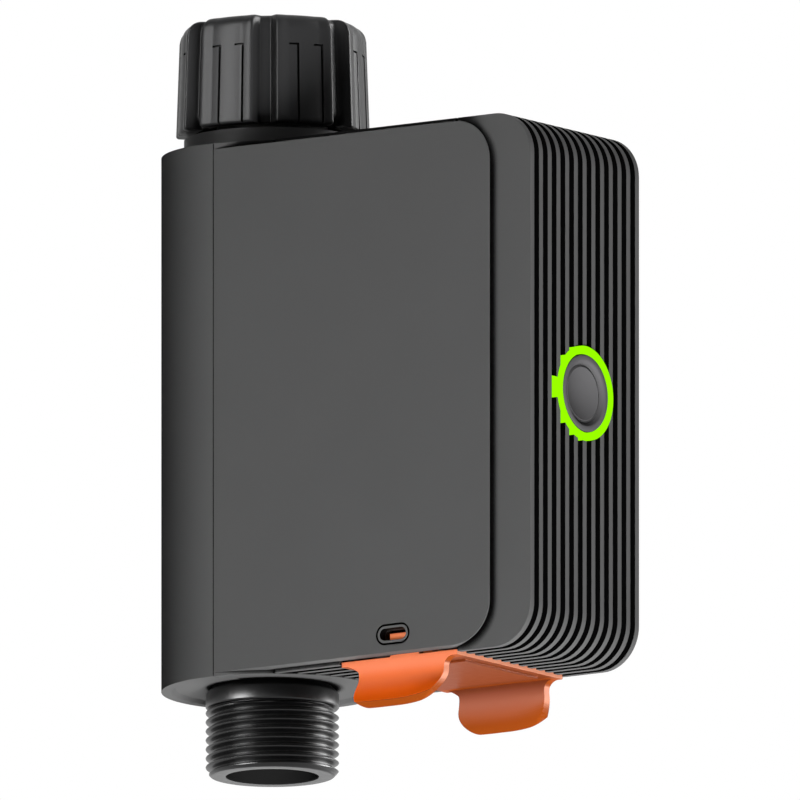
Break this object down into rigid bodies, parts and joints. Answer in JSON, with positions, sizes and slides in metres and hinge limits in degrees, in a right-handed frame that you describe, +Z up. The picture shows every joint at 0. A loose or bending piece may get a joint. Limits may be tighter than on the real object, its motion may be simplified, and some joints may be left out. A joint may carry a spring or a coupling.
{
  "type": "smart irrigation timer",
  "caption": "Tap-mounted irrigation timer: swivel inlet nut, threaded hose outlet, slide-out ribbed control module, orange latch and a round button in a light ring.",
  "frame": {"origin": "centre of the mouth of the inlet nut, on the water axis", "axes": "+Z up along the water axis, against the flow; the ribbed front with the button faces -Y; +X across the width"},
  "size_m": [0.044, 0.0978, 0.1505],
  "materials": {
    "casing_grey": "fine matt moulded finish",
    "fitting_black": "satin moulded black",
    "latch_orange": "satin moulded orange",
    "button_grey": "fine matt moulded finish",
    "ring_green": "clear light guide, lit green",
    "inner_grey": "plain moulded finish",
    "gear_white": "plain acetal",
    "seal_black": "smooth rubber",
    "seat_white": "smooth seat plastic",
    "steel": "plain steel",
    "ball_chrome": "polished",
    "gold_contact": "plated contact",
    "board_green": "circuit board",
    "led_white": "lamp package",
    "cell_sleeve": "plain sleeve"
  },
  "bodies": {
    "casing": {"rear_cover": "casing_grey", "housing_body": "casing_grey", "casing_seals": "seal_black", "window_bezels": "casing_grey", "outlet_spout": "fitting_black", "spout_seal": "seal_black", "valve_body": "casing_grey", "nut_retaining_ring": "steel", "hose_washer": "seal_black", "inlet_filter": "gear_white", "ball_seats": "seat_white", "drive_motor": "steel", "gear_axle": "steel", "gear_case": "inner_grey", "gear_case_cover": "inner_grey", "gear_case_screws": "steel", "turbine_axle": "steel", "turbine_carriers": "inner_grey", "flow_sensor": "board_green", "contact_block": "inner_grey", "contact_pads": "gold_contact"},
    "inlet_nut": {"inlet_nut": "fitting_black"},
    "valve_spindle": {"valve_ball": "ball_chrome", "valve_stem": "steel", "stem_seals": "seal_black", "output_gear": "gear_white"},
    "reduction": {"reduction_gear": "gear_white"},
    "motor_pinion": {"drive_pinion": "gear_white"},
    "turbine": {"turbine_rotor": "gear_white"},
    "module": {"module_shell": "casing_grey", "module_seal": "seal_black", "module_back": "inner_grey", "module_screws": "steel", "module_contacts": "gold_contact", "light_ring": "ring_green", "button_switch": "steel", "control_board": "board_green", "board_screws": "steel", "radio_module": "steel", "status_leds": "led_white", "battery_holder": "inner_grey", "battery_contacts": "steel", "battery_cell_1": "cell_sleeve", "battery_cell_2": "cell_sleeve", "battery_cell_3": "cell_sleeve", "battery_cell_4": "cell_sleeve"},
    "button": {"power_button": "button_grey", "switch_plunger": "gear_white"},
    "latch": {"release_latch": "latch_orange"}
  },
  "joints": [
    {"name": "nut_swivel", "type": "hinge", "parent": "casing", "child": "inlet_nut", "pos_m": [0, 0, -0.01], "axis": [0, 0, 1], "continuous": true},
    {"name": "module_slide", "type": "slide", "parent": "casing", "child": "module", "axis": [0, -1, 0], "range_m": [0, 0.037]},
    {"name": "latch_slide", "type": "slide", "parent": "casing", "child": "latch", "axis": [0, 0, 1], "range_m": [0, 0.0024]},
    {"name": "button_press", "type": "slide", "parent": "module", "child": "button", "axis": [0, 1, 0], "range_m": [0, 0.0006], "stiffness_N_per_m": 900, "springref_m": -0.0006},
    {"name": "valve_turn", "type": "hinge", "parent": "casing", "child": "valve_spindle", "pos_m": [0, 0, -0.1045], "axis": [0, 1, 0], "range_deg": [0, 90]},
    {"name": "reduction_turn", "type": "hinge", "parent": "casing", "child": "reduction", "pos_m": [0, 0, -0.0901], "axis": [0, 1, 0], "range_deg": [-235, 1]},
    {"name": "pinion_turn", "type": "hinge", "parent": "casing", "child": "motor_pinion", "pos_m": [0, 0, -0.0773], "axis": [0, 1, 0], "range_deg": [-2, 517]},
    {"name": "turbine_spin", "type": "hinge", "parent": "casing", "child": "turbine", "pos_m": [0, 0, -0.0505], "axis": [0, 0, 1], "continuous": true}
  ],
  "couplings": [
    {"joint": "reduction_turn", "follows": "valve_turn", "ratio": -2.6},
    {"joint": "pinion_turn", "follows": "valve_turn", "ratio": 5.72}
  ]
}
